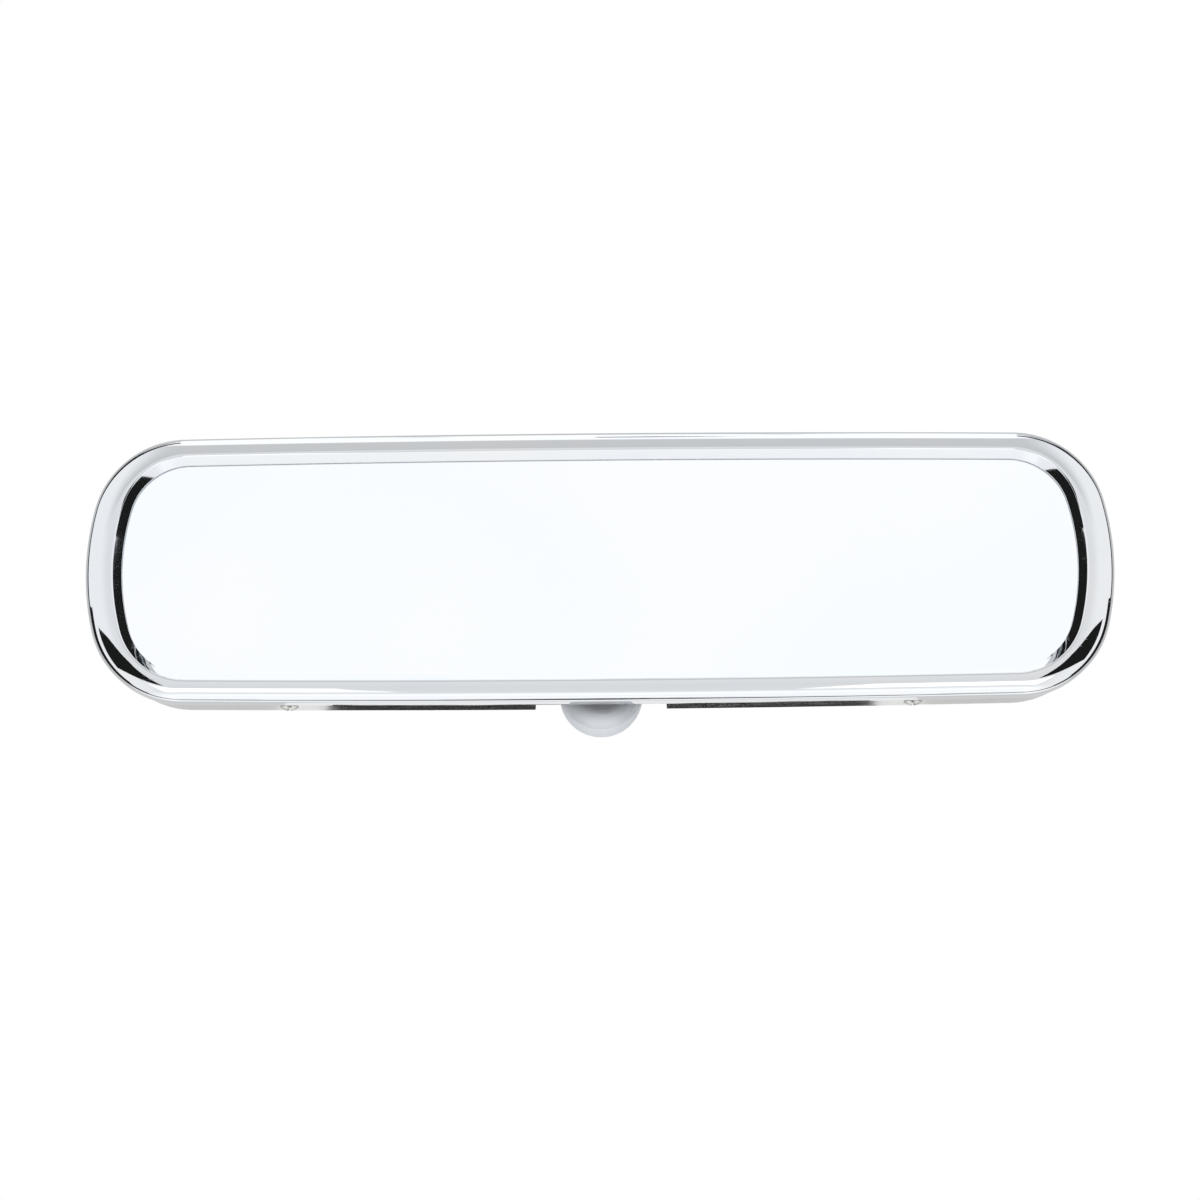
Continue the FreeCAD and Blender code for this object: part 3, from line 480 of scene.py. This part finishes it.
wire = bpy.data.objects.new("toggle_wire", nodes["toggle_spring"].data.copy())
bpy.context.scene.collection.objects.link(wire)
post, link = middle("spring_post"), middle("link_pin")
post.x = link.x = middle("toggle_spring").x
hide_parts("toggle_spring")
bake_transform(wire)


# ---- studio -------------------------------------------------------------------------------------------------
def glow(name, strength):
    """A studio surface that shines evenly; with a strength near 0 it is a black flag."""
    material = bpy.data.materials.new(name)
    material.use_nodes = True
    tree = material.node_tree
    tree.nodes.clear()
    light = tree.nodes.new("ShaderNodeEmission")
    light.inputs["Color"].default_value = (1, 1, 1, 1)
    light.inputs["Strength"].default_value = strength
    out = tree.nodes.new("ShaderNodeOutputMaterial")
    tree.links.new(light.outputs["Emission"], out.inputs["Surface"])
    return material


CENTRE = Vector((0, RIM_FRONT, RIM_MIDDLE_Z))


def direction(azimuth, elevation):
    """Azimuth 0 is straight in front of the glass, 90 to the right as seen by the driver."""
    a, e = math.radians(azimuth), math.radians(elevation)
    return Vector((math.sin(a) * math.cos(e), -math.cos(a) * math.cos(e), math.sin(e)))


def studio_panel(name, azimuths, elevations, distance, material):
    """A curved card round the mirror between two azimuths and two elevations, seen only in reflections."""
    mesh = bpy.data.meshes.new(name)
    shape = bmesh.new()
    across, up = 16, 8
    grid = []
    for j in range(up + 1):
        e = elevations[0] + (elevations[1] - elevations[0]) * j / up
        row = []
        for i in range(across + 1):
            a = azimuths[0] + (azimuths[1] - azimuths[0]) * i / across
            row.append(shape.verts.new(CENTRE + direction(a, e) * distance))
        grid.append(row)
    for low, high in zip(grid, grid[1:]):
        for i in range(across):
            shape.faces.new((low[i], low[i + 1], high[i + 1], high[i]))
    shape.to_mesh(mesh)
    shape.free()
    card = bpy.data.objects.new(name, mesh)
    bpy.context.scene.collection.objects.link(card)
    mesh.materials.append(material)
    card.visible_camera = card.visible_diffuse = card.visible_shadow = False


# how bright the room is in reflections, at each elevation in degrees, and at its sides
ROOM_LEVELS = [
    (-90, 1.2), (-62, 1.45), (-50, 1.0), (-20, 0.97), (4, 1.02), (14.4, 1.02), (16.2, 0.79), (68, 0.81), (72, 1.4),
]
SIDE_LEVEL = 1.18


def studio_world():
    """White to the eye; in reflections a soft room, brighter at the sides and low down, a little dimmer overhead."""
    world = bpy.data.worlds.new("studio_white")
    bpy.context.scene.world = world
    world.use_nodes = True
    tree = world.node_tree
    back = tree.nodes["Background"]

    def add(kind, **settings):
        node = tree.nodes.new(kind)
        for key, value in settings.items():
            setattr(node, key, value)
        return node

    split = add("ShaderNodeSeparateXYZ")
    tree.links.new(add("ShaderNodeTexCoord").outputs["Generated"], split.inputs[0])
    height = add("ShaderNodeMapRange")
    height.inputs["From Min"].default_value = -1
    tree.links.new(split.outputs["Z"], height.inputs["Value"])
    ramp = add("ShaderNodeValToRGB")
    tree.links.new(height.outputs["Result"], ramp.inputs["Fac"])
    places = ramp.color_ramp.elements
    while len(places) < len(ROOM_LEVELS):
        places.new(0.5)
    for stop, (elevation, level) in zip(places, ROOM_LEVELS):
        stop.position = (math.sin(math.radians(elevation)) + 1) / 2
        stop.color = (level, level, level, 1)
    sideways = add("ShaderNodeMath", operation="ABSOLUTE")
    tree.links.new(split.outputs["X"], sideways.inputs[0])
    side = add("ShaderNodeMapRange", interpolation_type="SMOOTHSTEP")
    side.inputs["From Min"].default_value = 0.20
    side.inputs["From Max"].default_value = 0.62
    tree.links.new(sideways.outputs[0], side.inputs["Value"])
    room = add("ShaderNodeMix", data_type="RGBA")
    tree.links.new(side.outputs["Result"], room.inputs[0])
    tree.links.new(ramp.outputs["Color"], room.inputs[6])
    room.inputs[7].default_value = (SIDE_LEVEL, SIDE_LEVEL, SIDE_LEVEL, 1)
    seen = add("ShaderNodeMix", data_type="RGBA")
    tree.links.new(add("ShaderNodeLightPath").outputs["Is Camera Ray"], seen.inputs[0])
    tree.links.new(room.outputs[2], seen.inputs[6])
    seen.inputs[7].default_value = (1, 1, 1, 1)
    tree.links.new(seen.outputs[2], back.inputs["Color"])


studio_world()
black = glow("flag_black", 0.015)
slate = glow("flag_slate", 0.10)
dim = glow("panel_dim", 0.62)
grey = glow("panel_grey", 0.72)
white = glow("panel_white", 1.6)
for side, mark in ((-1, "left"), (1, "right")):
    studio_panel(f"wall_{mark}", (side * 76, side * 104), (-80, 76), 1.9, black)
    studio_panel(f"wall_low_{mark}", (side * 66, side * 77), (-54, 4), 1.9, black)
    studio_panel(f"wall_stripe_{mark}", (side * 86, side * 91), (-50, 50), 1.7, slate)
    studio_panel(f"wall_end_{mark}", (side * 91, side * 104), (-80, 76), 1.75, dim)
    studio_panel(f"corner_{mark}", (side * 22, side * 58), (-22, 1), 1.5, black)
    studio_panel(f"streak_{mark}", (side * 9, side * 34), (-48, -27), 1.6, white)
    studio_panel(f"behind_{mark}", (side * 106, side * 171), (-40, 60), 1.9, grey)
studio_panel("behind_top", (-60, 60), (106, 160), 1.8, grey)
studio_panel("floor_gap", (-60, 60), (-108, -84), 1.4, black)
studio_panel("low_back", (172, 188), (-10.5, 12), 1.6, black)
studio_panel("overhead_gap", (-40, 40), (99, 104), 1.4, slate)
studio_panel("boom", (-1, 50), (84, 88), 1.4, black)

# floor: a large pale sheet well under the mirror
FLOOR_Z = -0.55
floor_mesh = bpy.data.meshes.new("floor")
floor_shape = bmesh.new()
bmesh.ops.create_grid(floor_shape, x_segments=4, y_segments=4, size=6.0)
floor_shape.to_mesh(floor_mesh)
floor_shape.free()
floor = bpy.data.objects.new("floor", floor_mesh)
floor.location = (0, 0, FLOOR_Z)
bpy.context.scene.collection.objects.link(floor)
pale = bpy.data.materials.new("floor_pale")
pale.use_nodes = True
pale.node_tree.nodes["Principled BSDF"].inputs["Base Color"].default_value = (0.90, 0.90, 0.90, 1)
pale.node_tree.nodes["Principled BSDF"].inputs["Roughness"].default_value = 0.8
floor_mesh.materials.append(pale)
floor.visible_glossy = False
floor.visible_transmission = False


def area_light(name, azimuth, elevation, distance, size, power):
    """A soft lamp turned to the mirror, left out of reflections."""
    lamp = bpy.data.lights.new(name, "AREA")
    lamp.shape = "RECTANGLE"
    lamp.size, lamp.size_y = size
    lamp.energy = power
    item = bpy.data.objects.new(name, lamp)
    item.location = CENTRE + direction(azimuth, elevation) * distance
    item.rotation_mode = "QUATERNION"
    item.rotation_quaternion = (item.location - CENTRE).to_track_quat("Z", "Y")
    item.visible_glossy = False
    item.visible_transmission = False
    bpy.context.scene.collection.objects.link(item)


area_light("key_soft", -35, 45, 1.6, (1.0, 0.8), 14)
area_light("fill_soft", 45, 20, 1.8, (1.0, 1.0), 7)

# ---- camera: a short telephoto in front of the glass and below it ------------------------------------------
BELOW = 12.0  # degrees
AWAY = 0.7  # metres
ROLL = -0.5  # degrees
camera_data = bpy.data.cameras.new("camera")
camera_data.lens = 85.26
camera_data.sensor_width = 36.0
camera_data.shift_y = -0.0304
camera_data.clip_start, camera_data.clip_end = 0.05, 50.0
camera = bpy.data.objects.new("camera", camera_data)
camera.location = CENTRE + direction(0, -BELOW) * AWAY
look = (camera.location - CENTRE).to_track_quat("Z", "Y").to_matrix()
camera.rotation_mode = "QUATERNION"
camera.rotation_quaternion = (look @ Matrix.Rotation(math.radians(ROLL), 3, "Z")).to_quaternion()
bpy.context.scene.collection.objects.link(camera)
bpy.context.scene.camera = camera
bpy.context.scene.view_settings.view_transform = "Standard"
